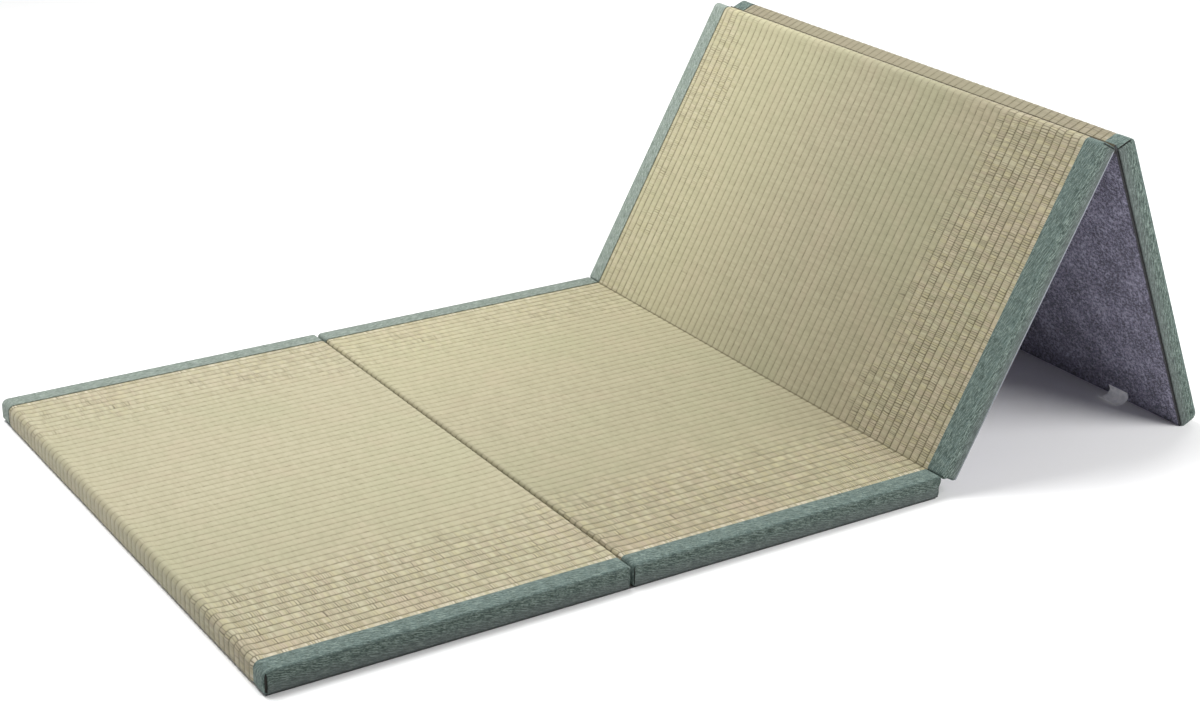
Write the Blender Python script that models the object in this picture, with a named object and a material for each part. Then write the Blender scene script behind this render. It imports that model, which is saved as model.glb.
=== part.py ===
"""Folding rush floor mat: four panels edged in cloth, two lying flat and two standing as a tent.

Metres, +Z up, Z = 0 is the floor. X runs along the mat, from the free end of panel 1 at -X to
the foot of panel 4 at +X, and Y runs across it, with the near long side at -Y.

Each panel has its own frame: s along the panel, h from its felt underside up to its rush face.
"""

import math

import bmesh
import bpy
from mathutils import Matrix, Vector

# Panels
PANEL_LENGTH = 0.525
WIDTH = 0.935
THICKNESS = 0.035
FOLD_GAP = 0.0036
LEAN = math.radians(61.4)
END_RADIUS = 0.010
FOLD_RADIUS = 0.0055
CREASE_RADIUS = 0.003
SEAM_RADIUS = 0.005
FOOT_PRESS = 0.0008

# Cloth
FELT = 0.0020
FELT_TURN = 0.0040
BINDING = 0.0012
BORDER = 0.030
EDGE_RADIUS = 0.0025
SLIT = 0.0012
CLEAR = 0.0003

# Rush facing
RIB_PITCH = 0.015
GROOVE_WIDTH = 0.0030
GROOVE_DEPTH = 0.0009
WEB = 0.0025

# Blank label, sewn to the felt of panel 4 and curling down to the floor
LABEL_Y = -0.338
LABEL_WIDTH = 0.040
LABEL_THICKNESS = 0.0010
LABEL_ROOT = 0.0145
LABEL_SEWN = 0.008
LABEL_CURL = (
    # length, heading in degrees
    (0.0030, -92),
    (0.0040, -126),
    (0.0050, -155),
    (0.0080, -176),
    (0.0080, -181),
    (0.0050, -191),
)

# Worked out from the sizes above
SEAM = FELT + CLEAR
SKIN = BINDING + CLEAR
RUSH_TOP = THICKNESS - SKIN
INNER_EDGE = WIDTH / 2 - BORDER
CREASE_X = 2 * PANEL_LENGTH + FOLD_GAP
APEX_X = CREASE_X + PANEL_LENGTH * math.cos(LEAN) + THICKNESS * math.sin(LEAN)
APEX_Z = THICKNESS + PANEL_LENGTH * math.sin(LEAN) - THICKNESS * math.cos(LEAN)

# Panel 4 falls until the round corner of its foot presses a little flat on the floor.
FOOT_REACH = PANEL_LENGTH - SEAM_RADIUS
FOOT_HEIGHT = SEAM + SEAM_RADIUS
FALL = math.atan2(FOOT_HEIGHT, FOOT_REACH) + math.asin(
    (APEX_Z - SEAM_RADIUS + FOOT_PRESS) / math.hypot(FOOT_REACH, FOOT_HEIGHT)
)
LENGTH = (
    APEX_X
    + (PANEL_LENGTH - END_RADIUS) * math.cos(FALL)
    + (THICKNESS - END_RADIUS) * math.sin(FALL)
    + END_RADIUS
)
MIDDLE = LENGTH / 2

# Radii at the low and far ends of each panel, smaller where two panels meet on the floor
END_RADII = {
    1: (END_RADIUS, FOLD_RADIUS),
    2: (FOLD_RADIUS, CREASE_RADIUS),
    3: (CREASE_RADIUS, END_RADIUS),
    4: (END_RADIUS, END_RADIUS),
}


def panel_frame(x, z, slope):
    """Matrix from a panel's own (s, y, h) to the mat, with s rising at the given slope."""
    return Matrix.Translation((x - MIDDLE, 0, z)) @ Matrix.Rotation(-slope, 4, "Y")


LOW_CORNER_X = CREASE_X + THICKNESS * math.sin(LEAN)
LOW_CORNER_Z = THICKNESS - THICKNESS * math.cos(LEAN)
FRAMES = {
    1: panel_frame(0, 0, 0),
    2: panel_frame(PANEL_LENGTH + FOLD_GAP, 0, 0),
    3: panel_frame(LOW_CORNER_X, LOW_CORNER_Z, LEAN),
    4: panel_frame(APEX_X, APEX_Z, -FALL),
}


# Scene and mesh tools


def clear_scene():
    for found in list(bpy.data.objects):
        bpy.data.objects.remove(found, do_unlink=True)


def new_collection(name):
    made = bpy.data.collections.new(name)
    bpy.context.scene.collection.children.link(made)
    return made


def material(name, colour, roughness, metallic=0.0):
    made = bpy.data.materials.new(name)
    made.use_nodes = True
    shader = made.node_tree.nodes["Principled BSDF"]
    shader.inputs["Base Color"].default_value = (*colour, 1)
    shader.inputs["Roughness"].default_value = roughness
    shader.inputs["Metallic"].default_value = metallic
    made.diffuse_color = (*colour, 1)
    return made


def new_object(name, mesh, collection, finish=None, parent=None):
    """Writes a bmesh to a new object in a collection."""
    bmesh.ops.recalc_face_normals(mesh, faces=mesh.faces)
    data = bpy.data.meshes.new(name)
    mesh.to_mesh(data)
    mesh.free()
    if finish:
        data.materials.append(finish)
    made = bpy.data.objects.new(name, data)
    made.parent = parent
    collection.objects.link(made)
    return made


def loft(rings):
    """A grid wrapped round a row of closed sections, each (y, [(x, z), ...]), its two ends filled."""
    around = len(rings[0][1])
    mesh = bmesh.new()
    bmesh.ops.create_grid(mesh, x_segments=around, y_segments=len(rings) - 1, size=0.5)
    for index, vert in enumerate(mesh.verts):
        y, section = rings[index // (around + 1)]
        x, z = section[index % (around + 1) % around]
        vert.co = (x, y, z)
    bmesh.ops.remove_doubles(mesh, verts=mesh.verts, dist=1e-6)
    rims = [edge for edge in mesh.edges if edge.is_boundary]
    bmesh.ops.holes_fill(mesh, edges=rims, sides=0)
    bmesh.ops.dissolve_limit(mesh, angle_limit=0.001, verts=mesh.verts, edges=mesh.edges)
    return mesh


def prism(outline, y_start, y_end):
    """An outline of (x, z) points extruded across the mat."""
    mesh = bmesh.new()
    face = mesh.faces.new([mesh.verts.new((x, y_start, z)) for x, z in outline])
    grown = bmesh.ops.extrude_face_region(mesh, geom=[face])
    moved = [item for item in grown["geom"] if isinstance(item, bmesh.types.BMVert)]
    bmesh.ops.translate(mesh, verts=moved, vec=(0, y_end - y_start, 0))
    return mesh


def round_side(mesh, side_y, above, radius):
    """Rounds the rim of the face at side_y wherever it rises above a height."""
    rim = []
    for edge in mesh.edges:
        on_side = all(abs(vert.co.y - side_y) < 1e-6 for vert in edge.verts)
        if on_side and max(vert.co.z for vert in edge.verts) > above + 1e-5:
            rim.append(edge)
    bmesh.ops.bevel(
        mesh,
        geom=rim,
        offset=radius,
        offset_type="OFFSET",
        segments=2,
        profile=0.5,
        affect="EDGES",
        material=-1,
    )
    return mesh


def cut(target, name, mesh, cutters, parent=None):
    """Subtracts a mesh from the target, through a cutter that isn't rendered."""
    cutter = new_object(name, mesh, cutters, parent=parent)
    cutter.hide_render = True
    cutter.display_type = "WIRE"
    modifier = target.modifiers.new(name, "BOOLEAN")
    modifier.operation = "DIFFERENCE"
    modifier.solver = "EXACT"
    modifier.object = cutter


# Sections, as lists of points


def arc(centre, radius, start, end, steps):
    """Points on a round corner, from one angle to another in degrees."""
    points = []
    for step in range(steps + 1):
        angle = math.radians(start + (end - start) * step / steps)
        points.append((centre[0] + radius * math.cos(angle), centre[1] + radius * math.sin(angle)))
    return points


def from_far_end(points):
    """The same (s, h) points, measured from the panel's far end."""
    return [(PANEL_LENGTH - s, h) for s, h in points]


def on_panel(number, points):
    """World (x, z) of a panel's (s, h) points."""
    placed = [FRAMES[number] @ Vector((s, 0, h)) for s, h in points]
    return [(point.x, point.z) for point in placed]


def on_foot(curve, foot):
    """The curve of an end, with a straight start at the height of its foot."""
    return [(curve[0][0], foot)] + curve


def wrapped_end(inset, top_radius=END_RADIUS, start=270, steps=4):
    """A panel's rounded low end, from the seam up to the face, at a depth under the cloth's skin."""
    seam_centre = (SEAM_RADIUS, SEAM + SEAM_RADIUS)
    top_centre = (top_radius, THICKNESS - top_radius)
    low = arc(seam_centre, SEAM_RADIUS - inset, start, 180, steps - 1)
    high = arc(top_centre, top_radius - inset, 180, 90, steps if top_radius > 0.005 else 2)
    return low + high


def rush_end(relief, top_radius=END_RADIUS):
    """The same end of the rush under its bindings, standing on the felt."""
    return on_foot(wrapped_end(SKIN + relief, top_radius, steps=2), SEAM)


def turned_end(radius, top):
    """A panel's low end where felt turns up into the crease, from the underside to a height."""
    centre = (CLEAR + FELT_TURN, FELT_TURN)
    return arc(centre, radius, 270, 180, 3) + [(centre[0] - radius, top)]


def crease(depth):
    """World (x, z) of the valley between panels 2 and 3, at a depth under their faces."""
    return (CREASE_X + depth * math.tan(LEAN / 2) - MIDDLE, THICKNESS - depth)


# Rush facing


def rib_stations():
    """(y, relief) of each section across the rush: flat ribs with a groove between each two."""
    edge = WIDTH / 2 - SKIN
    round_in = EDGE_RADIUS - SKIN
    grooves = 2 * round(INNER_EDGE / RIB_PITCH)
    stations = [(-edge, round_in), (round_in - edge, 0)]
    for number in range(grooves):
        y = (number - (grooves - 1) / 2) * RIB_PITCH
        stations.append((y - GROOVE_WIDTH / 2, 0))
        stations.append((y, GROOVE_DEPTH))
        stations.append((y + GROOVE_WIDTH / 2, 0))
    stations += [(edge - round_in, 0), (edge, round_in)]
    return stations


def single_section(number, relief):
    """Closed section of a panel whose two ends are wrapped in rush."""
    low_radius, far_radius = END_RADII[number]
    low = rush_end(relief, low_radius)
    far = rush_end(relief, far_radius)
    return on_panel(number, low + from_far_end(far)[::-1])


def joined_section(relief):
    """Closed section of panels 2 and 3, which the rush joins at the crease."""
    hinged = turned_end(FELT_TURN - SEAM, RUSH_TOP - WEB)
    section = on_panel(2, rush_end(relief, FOLD_RADIUS))
    section.append(crease(SKIN + relief))
    section += on_panel(3, from_far_end(rush_end(relief))[::-1] + hinged)
    section.append(crease(SKIN + WEB))
    section += on_panel(2, from_far_end(hinged)[::-1])
    return section


def crease_notch_outline():
    """What the rush leaves free at a border, where each panel's binding turns into the crease."""
    turn = [(SEAM_RADIUS, -0.010), (SEAM_RADIUS, 0.0039), (CREASE_RADIUS, 0.0046)]
    peak = THICKNESS + CREASE_RADIUS / math.tan(LEAN / 2)
    outline = [(CREASE_X - CREASE_RADIUS - MIDDLE, peak)]
    outline += on_panel(2, from_far_end(turn)[::-1])
    outline += on_panel(3, turn)
    return outline


def build_rush(collection, cutters):
    finish = material("rush", (0.56, 0.51, 0.34), 0.62)
    stations = rib_stations()
    for number in (1, 4):
        rings = [(y, single_section(number, relief)) for y, relief in stations]
        new_object(f"rush_panel_{number}", loft(rings), collection, finish)
    rings = [(y, joined_section(relief)) for y, relief in stations]
    joined = new_object("rush_panels_2_3", loft(rings), collection, finish)
    for side, name in ((-1, "near"), (1, "far")):
        notch = prism(crease_notch_outline(), side * (INNER_EDGE - 0.0005), side * WIDTH)
        cut(joined, f"crease_notch_{name}", notch, cutters)


# Felt backs


def felt_outlines():
    """Closed outlines of the two backs, each turned up at the end that meets the crease."""
    end = SEAM_RADIUS - 0.001
    top = RUSH_TOP - WEB - 0.0008
    outside = turned_end(FELT_TURN, top)
    inside = turned_end(FELT_TURN - FELT, top)
    flat = on_panel(1, [(end, FELT), (end, 0)])
    flat += on_panel(2, from_far_end(outside) + from_far_end(inside)[::-1])
    tent = on_panel(3, outside[::-1])
    tent += on_panel(4, [(0, 0), (PANEL_LENGTH - end, 0), (PANEL_LENGTH - end, FELT)])
    apex = (APEX_X - MIDDLE, APEX_Z)
    tent += arc(apex, FELT, 90 - math.degrees(FALL), 90 + math.degrees(LEAN), 6)
    tent += on_panel(3, inside)
    return {"felt_back_1_2": flat, "felt_back_3_4": tent}


def build_felt(collection, cutters):
    finish = material("felt", (0.090, 0.085, 0.120), 0.95)
    turned = {"felt_back_1_2": 2, "felt_back_3_4": 3}
    for name, outline in felt_outlines().items():
        back = new_object(name, prism(outline, -WIDTH / 2, WIDTH / 2), collection, finish)
        number = turned[name]
        corner = [(-0.002, -0.001), (0.0045, -0.001), (0.0045, THICKNESS), (-0.002, THICKNESS)]
        if number == 2:
            corner = from_far_end(corner)
        for side, label in ((-1, "near"), (1, "far")):
            notch = prism(on_panel(number, corner), side * (INNER_EDGE - 0.0005), side * WIDTH)
            cut(back, f"felt_notch_{number}_{label}", notch, cutters)


# Bindings, in the frame of their panel


def slit_box(s, side, top):
    """A slit that frees the side of a binding from the flap round the panel's end."""
    outline = [(s - SLIT / 2, -0.001), (s + SLIT / 2, -0.001), (s + SLIT / 2, top), (s - SLIT / 2, top)]
    return prism(outline, side * (WIDTH / 2 - EDGE_RADIUS), side * (WIDTH / 2 + 0.001))


def build_binding(number, side, name, parent, collection, cutters, finish):
    """One strip of cloth over a panel's long edge, its ends folded down round both corners."""
    low_radius, far_radius = END_RADII[number]
    edge = side * WIDTH / 2
    outline = wrapped_end(0, low_radius) + from_far_end(wrapped_end(0, far_radius))[::-1]
    outer = round_side(prism(outline, side * INNER_EDGE, edge), edge, SEAM, EDGE_RADIUS)
    binding = new_object(name, outer, collection, finish, parent)

    low = on_foot(wrapped_end(BINDING, low_radius, 265), -0.001)
    far = on_foot(wrapped_end(BINDING, far_radius, 265), -0.001)
    inner_edge = edge - side * BINDING
    hollow = prism(low + from_far_end(far)[::-1], side * (INNER_EDGE - 0.001), inner_edge)
    round_side(hollow, inner_edge, 0.0036, EDGE_RADIUS - BINDING)
    cut(binding, f"{name}_hollow", hollow, cutters, parent)

    from_end = BINDING + 0.0002 + SLIT / 2
    low_slit = slit_box(from_end, side, THICKNESS - low_radius - 0.0005)
    far_slit = slit_box(PANEL_LENGTH - from_end, side, THICKNESS - far_radius - 0.0005)
    cut(binding, f"{name}_low_slit", low_slit, cutters, parent)
    cut(binding, f"{name}_far_slit", far_slit, cutters, parent)
    return binding


def build_bindings(collection, cutters):
    finish = material("binding", (0.175, 0.240, 0.215), 0.85)
    for number, frame in FRAMES.items():
        panel = bpy.data.objects.new(f"panel_{number}", None)
        panel.matrix_world = frame
        collection.objects.link(panel)
        for side, side_name in ((-1, "near"), (1, "far")):
            name = f"binding_{number}_{side_name}"
            binding = build_binding(number, side, name, panel, collection, cutters, finish)
            if number == 4:
                floor = [(0, 0), (LENGTH, 0), (LENGTH, -0.02), (0, -0.02)]
                cut(binding, f"{name}_floor", prism(floor, side * WIDTH, 0), cutters)


# Label


def thickened(path, thickness):
    """Closed outline of a sheet whose middle follows a path of (x, z) points."""
    upper = []
    lower = []
    for index, point in enumerate(path):
        before = Vector(path[max(index - 1, 0)])
        after = Vector(path[min(index + 1, len(path) - 1)])
        across = (after - before).normalized().orthogonal() * thickness / 2
        upper.append(tuple(Vector(point) + across))
        lower.append(tuple(Vector(point) - across))
    return upper + lower[::-1]


def label_path():
    """The label's middle, from its sewn end down the felt to its free edge on the floor."""
    off_felt = -CLEAR - LABEL_THICKNESS / 2
    root = PANEL_LENGTH - LABEL_ROOT
    path = on_panel(4, [(root - LABEL_SEWN, off_felt), (root, off_felt)])
    for length, heading in LABEL_CURL:
        x, z = path[-1]
        turn = math.radians(heading)
        path.append((x + length * math.cos(turn), z + length * math.sin(turn)))
    return path


def build_label(collection):
    finish = material("label", (0.52, 0.56, 0.56), 0.55)
    outline = thickened(label_path(), LABEL_THICKNESS)
    mesh = prism(outline, LABEL_Y - LABEL_WIDTH / 2, LABEL_Y + LABEL_WIDTH / 2)
    new_object("label", mesh, collection, finish)


def main():
    clear_scene()
    mat = new_collection("folding_rush_mat")
    cutters = new_collection("cutters")
    build_rush(mat, cutters)
    build_felt(mat, cutters)
    build_bindings(mat, cutters)
    build_label(mat)


main()
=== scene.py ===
"""Looks of a folding rush floor mat: rush facings, cloth bindings, felt backs and a blank label.

Metres, +Z up, Z = 0 is the floor. X runs along the mat, from the free end of panel 1 at -X to
the foot of panel 4 at +X, and Y runs across it, with the near long side at -Y. Each panel has its
own frame: s along the panel, h from its felt underside up to its rush face.
"""

import logging
import math
from collections.abc import Callable, Iterator
from contextlib import contextmanager
from dataclasses import dataclass
from enum import Enum

import bmesh
import bpy
import numpy as np
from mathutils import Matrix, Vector


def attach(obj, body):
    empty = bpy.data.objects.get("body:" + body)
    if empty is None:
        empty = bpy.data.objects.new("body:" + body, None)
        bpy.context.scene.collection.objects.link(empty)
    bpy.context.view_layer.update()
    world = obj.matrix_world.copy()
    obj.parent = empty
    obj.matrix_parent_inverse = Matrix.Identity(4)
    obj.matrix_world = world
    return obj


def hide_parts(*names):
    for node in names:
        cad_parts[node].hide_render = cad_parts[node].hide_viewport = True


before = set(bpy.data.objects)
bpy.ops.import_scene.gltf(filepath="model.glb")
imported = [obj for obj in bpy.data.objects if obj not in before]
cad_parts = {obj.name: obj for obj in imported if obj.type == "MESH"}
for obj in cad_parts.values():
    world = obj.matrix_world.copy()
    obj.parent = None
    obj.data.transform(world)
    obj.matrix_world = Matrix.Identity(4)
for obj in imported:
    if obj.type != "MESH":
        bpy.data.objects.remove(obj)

logging.basicConfig(level=logging.INFO, format="%(message)s")
LOG = logging.getLogger("mat")

BODY = "root"
CLOTH_UV = "cloth"
SHARP = math.radians(42)
SAME_PLACE = 1e-7
KNOTS = 4096
FIRST_KNOT = 64

Socket = bpy.types.NodeSocket
Value = float | Socket
Colour = tuple[float, float, float, float]


class Side(Enum):
    """A long side of the mat, with the sign of its y."""

    NEAR = -1
    FAR = 1


class Slot(Enum):
    """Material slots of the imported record."""

    RUSH = "rush"
    FELT = "felt"
    BINDING = "binding"
    LABEL = "label"


# Sizes and the section


def arc(
    centre: tuple[float, float], radius: float, start: float, end: float, steps: int
) -> np.ndarray:
    """Points (s, h) on a round corner, from one angle to another in degrees."""
    angles = np.radians(np.linspace(start, end, steps + 1))
    return np.array(centre) + radius * np.stack([np.cos(angles), np.sin(angles)], axis=1)


def straight(start: tuple[float, float], end: tuple[float, float], step: float) -> np.ndarray:
    """Evenly spaced points between two points, without the two themselves."""
    count = max(1, math.ceil(math.dist(start, end) / step))
    shares = np.arange(1, count)[:, None] / count
    return np.array(start) + shares * (np.array(end) - np.array(start))


@dataclass(frozen=True)
class PanelFrame:
    """Where a panel lies in the mat's section."""

    x: float
    z: float
    slope: float

    def place(self, points: np.ndarray) -> np.ndarray:
        """Turns (s, h) points of the panel into (x, z) points of the mat."""
        cosine, sine = math.cos(self.slope), math.sin(self.slope)
        turn = np.array([[cosine, sine], [-sine, cosine]])
        return np.asarray(points, float) @ turn + (self.x, self.z)


@dataclass(frozen=True)
class MatSizes:
    """Driving sizes of the mat, the same as those of its solids."""

    panel_length: float = 0.525
    width: float = 0.935
    thickness: float = 0.035
    fold_gap: float = 0.0036
    lean: float = math.radians(61.4)
    end_radius: float = 0.010
    fold_radius: float = 0.0055
    crease_radius: float = 0.0028
    swell: float = 0.0030
    swell_depth: float = 0.016
    seam_radius: float = 0.005
    hinge_radius: float = 0.0018
    foot_press: float = 0.0008
    felt: float = 0.0020
    felt_turn: float = 0.0040
    binding: float = 0.0012
    border: float = 0.030
    edge_radius: float = 0.0025
    clear: float = 0.0003
    web: float = 0.0025
    felt_gap: float = 0.0008
    crease_gap: float = 0.0004
    least_radius: float = 0.0006
    tight_radius: float = 0.004

    @property
    def seam(self) -> float:
        """Height of the seam between felt and binding."""
        return self.felt + self.clear

    @property
    def skin(self) -> float:
        """Depth of the rush under the outside of the bindings."""
        return self.binding + self.clear

    @property
    def half_width(self) -> float:
        """From the middle of the mat to its long side."""
        return self.width / 2

    @property
    def inner_edge(self) -> float:
        """From the middle of the mat to the inner edge of a binding."""
        return self.half_width - self.border

    @property
    def felt_top(self) -> float:
        """Height of the top of the turned felt, just under the web of rush in the crease."""
        return self.thickness - self.skin - self.web - self.felt_gap

    @property
    def felt_hinge(self) -> float:
        """How far along the tent's back its hinge lies, from the top of the turned part."""
        turned = self.felt_top - self.felt_turn + math.pi / 2 * self.felt_turn
        return turned + self.panel_length - self.clear - self.felt_turn

    @property
    def crease_x(self) -> float:
        """Length of the two flat panels."""
        return 2 * self.panel_length + self.fold_gap

    @property
    def apex(self) -> tuple[float, float]:
        """The felt hinge at the top of the tent, measured from the free end of panel 1."""
        rise, run = math.sin(self.lean), math.cos(self.lean)
        x = self.crease_x + self.panel_length * run + self.thickness * rise
        return x, self.thickness + self.panel_length * rise - self.thickness * run

    @property
    def fall(self) -> float:
        """Slope of panel 4, whose round foot presses a little flat on the floor."""
        reach = self.panel_length - self.seam_radius
        height = self.seam + self.seam_radius
        drop = self.apex[1] - self.seam_radius + self.foot_press
        return math.atan2(height, reach) + math.asin(drop / math.hypot(reach, height))

    @property
    def middle(self) -> float:
        """Half the length of the mat as it stands."""
        reach = (self.panel_length - self.end_radius) * math.cos(self.fall)
        depth = (self.thickness - self.end_radius) * math.sin(self.fall)
        return (self.apex[0] + reach + depth + self.end_radius) / 2

    def frames(self) -> dict[int, PanelFrame]:
        """The frame of each panel, by its number."""
        low = (
            self.crease_x + self.thickness * math.sin(self.lean),
            self.thickness - self.thickness * math.cos(self.lean),
        )
        return {
            1: PanelFrame(-self.middle, 0, 0),
            2: PanelFrame(self.panel_length + self.fold_gap - self.middle, 0, 0),
            3: PanelFrame(low[0] - self.middle, low[1], self.lean),
            4: PanelFrame(self.apex[0] - self.middle, self.apex[1], -self.fall),
        }

    def end_radii(self, number: int) -> tuple[tuple[float, float], tuple[float, float]]:
        """Radii at the face and at the seam, for a panel's low end and for its far end."""
        at_face = {
            1: (self.end_radius, self.fold_radius),
            2: (self.fold_radius, self.crease_radius),
            3: (self.crease_radius, self.end_radius),
            4: (self.end_radius, self.end_radius),
        }
        low, far = at_face[number]
        low_seam = self.hinge_radius if number == 4 else self.seam_radius
        far_seam = self.hinge_radius if number == 3 else self.seam_radius
        return (low, low_seam), (far, far_seam)

    def from_far_end(self, points: np.ndarray) -> np.ndarray:
        """The same points measured from the panel's far end, in the opposite order."""
        return (np.array([self.panel_length, 0]) - points * (1, -1))[::-1]

    def swollen(self, depth: np.ndarray) -> np.ndarray:
        """How far a border swells into the crease, at depths under the panel's face."""
        half_open = np.maximum(depth * math.tan(self.lean / 2) - self.crease_gap, 0)
        free = self.swell * np.sin(np.pi * np.clip(depth / self.swell_depth, 0, 1))
        return np.minimum(half_open, free)

    def wrapped_end(
        self, inset: float, radius: float, seam_radius: float, step: float
    ) -> np.ndarray:
        """A panel's low end, from its seam up to its face.

        Args:
            inset: Depth under the outside of the bindings.
            radius: Radius of the corner at the face.
            seam_radius: Radius of the corner at the seam.
            step: The widest gap between points on the end face.

        Returns:
            An array of (s, h) points.
        """
        small = max(seam_radius - inset, self.least_radius)
        seam_centre = (inset + small, self.seam + inset + small)
        low = arc(seam_centre, small, 270, 180, 4)
        top_centre = (radius, self.thickness - radius)
        high = arc(top_centre, radius - inset, 180, 90, 6 if radius > self.tight_radius else 4)
        return np.concatenate([low, straight(tuple(low[-1]), tuple(high[0]), step), high])


@dataclass(frozen=True)
class SectionPath:
    """A line through the mat's section, with its outward normals and its run in metres."""

    points: np.ndarray
    outward: np.ndarray
    run: np.ndarray

    @classmethod
    def through(cls, points: np.ndarray) -> "SectionPath":
        """Makes a path whose outside is on its left.

        Args:
            points: The (x, z) points, none twice in a row.

        Returns:
            The path, with mitred normals at its corners.
        """
        steps = np.diff(points, axis=0)
        lengths = np.linalg.norm(steps, axis=1)
        sides = np.stack([-steps[:, 1], steps[:, 0]], axis=1) / lengths[:, None]
        before = np.concatenate([sides[:1], sides])
        after = np.concatenate([sides, sides[-1:]])
        outward = (before + after) / (1 + (before * after).sum(axis=1, keepdims=True))
        return cls(points, outward, np.concatenate([[0], np.cumsum(lengths)]))

    def raised(self, heights: np.ndarray) -> np.ndarray:
        """The path's points moved outwards, by one height for each or by rows of them."""
        return self.points + self.outward * np.asarray(heights)[..., None]


def wander(places: np.ndarray, period: float, seed: int) -> np.ndarray:
    """A smooth random line with values from -1 to 1.

    Args:
        places: Where it is read, in metres.
        period: The gap between its knots.
        seed: Number of the random line.

    Returns:
        One value for each place.
    """
    knots = np.random.default_rng(seed).uniform(-1, 1, KNOTS)
    steps = np.asarray(places) / period + FIRST_KNOT
    index = np.floor(steps).astype(int)
    share = steps - index
    share = share * share * (3 - 2 * share)
    return knots[index % KNOTS] * (1 - share) + knots[(index + 1) % KNOTS] * share


# Meshes


@contextmanager
def opened(mesh: bpy.types.Mesh) -> Iterator[bmesh.types.BMesh]:
    """Opens a mesh for bmesh operators, and writes it back after them."""
    made = bmesh.new()
    made.from_mesh(mesh)
    yield made
    made.to_mesh(mesh)
    made.free()


def put(name: str, data: bpy.types.ID) -> bpy.types.Object:
    """Puts a new object in the scene."""
    made = bpy.data.objects.new(name, data)
    bpy.context.scene.collection.objects.link(made)
    return made


def lay_grid(name: str, points: np.ndarray, uv: np.ndarray) -> bpy.types.Mesh:
    """Lays a grid of quads through rows of points.

    Args:
        name: Name of the mesh.
        points: Rows of points, shaped (rows, columns, 3).
        uv: Flat place of each point in metres, shaped (rows, columns, 2).

    Returns:
        The mesh, with its flat places in its UV map.
    """
    rows, columns = points.shape[:2]
    mesh = bpy.data.meshes.new(name)
    with opened(mesh) as grid:
        bmesh.ops.create_grid(grid, x_segments=columns - 1, y_segments=rows - 1, size=0.5)
    mesh.vertices.foreach_set("co", points.astype(np.float32).ravel())
    corners = np.empty(len(mesh.loops), np.int32)
    mesh.loops.foreach_get("vertex_index", corners)
    layer = mesh.uv_layers.new(name=CLOTH_UV)
    layer.data.foreach_set("uv", uv.reshape(-1, 2)[corners].astype(np.float32).ravel())
    return mesh


def across(section: np.ndarray, y: np.ndarray) -> np.ndarray:
    """Joins rows of (x, z) points and their y places into points of the mat."""
    places = np.broadcast_to(y, section.shape[:2])
    return np.stack([section[..., 0], places, section[..., 1]], axis=2)


def lay_across(
    name: str, section: np.ndarray, run: np.ndarray, y: np.ndarray
) -> bpy.types.Mesh:
    """Lays a cloth in rows across the mat.

    Args:
        name: Name of the mesh.
        section: The (x, z) points of each row, shaped (rows, columns, 2).
        run: How far each column lies along the cloth.
        y: Where each row lies across the mat.

    Returns:
        The mesh, with its flat places in its UV map.
    """
    flat = np.stack(np.broadcast_arrays(run[None, :], y[:, None]), axis=2)
    return lay_grid(name, across(section, y[:, None]), flat)


def cut_out(mesh: bpy.types.Mesh, spare: Callable[[bmesh.types.BMFace], bool]) -> None:
    """Cuts the faces that pass a test out of a sheet."""
    with opened(mesh) as sheet:
        cut = [face for face in sheet.faces if spare(face)]
        bmesh.ops.delete(sheet, geom=cut, context="FACES")


@dataclass
class Piece:
    name: str
    slot: Slot
    nodes: tuple[str, ...]
    mesh: bpy.types.Mesh
    finish: bpy.types.Material

    def place(self) -> bpy.types.Object:
        """Puts the piece in the scene in the place of its solids."""
        self.mesh.materials.append(self.finish)
        self.mesh.shade_smooth()
        self.mesh.set_sharp_from_angle(angle=SHARP)
        made = put(self.name, self.mesh)
        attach(made, BODY)
        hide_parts(*self.nodes)
        LOG.info("%s: %d faces for %s", self.name, len(self.mesh.polygons), ", ".join(self.nodes))
        return made


def thicken(mesh: bpy.types.Mesh, thickness: float, outside: Vector) -> None:
    """Turns an open sheet into a thin closed one, its outside left where it is.

    Args:
        mesh: The sheet, changed in place.
        thickness: The cloth's thickness.
        outside: A direction that most of the outside faces.
    """
    with opened(mesh) as sheet:
        facing = sum((face.normal * face.calc_area() for face in sheet.faces), Vector())
        if facing.dot(outside) < 0:
            bmesh.ops.reverse_faces(sheet, faces=sheet.faces)
        bmesh.ops.solidify(sheet, geom=sheet.faces[:], thickness=thickness)


# Shader nodes


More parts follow.
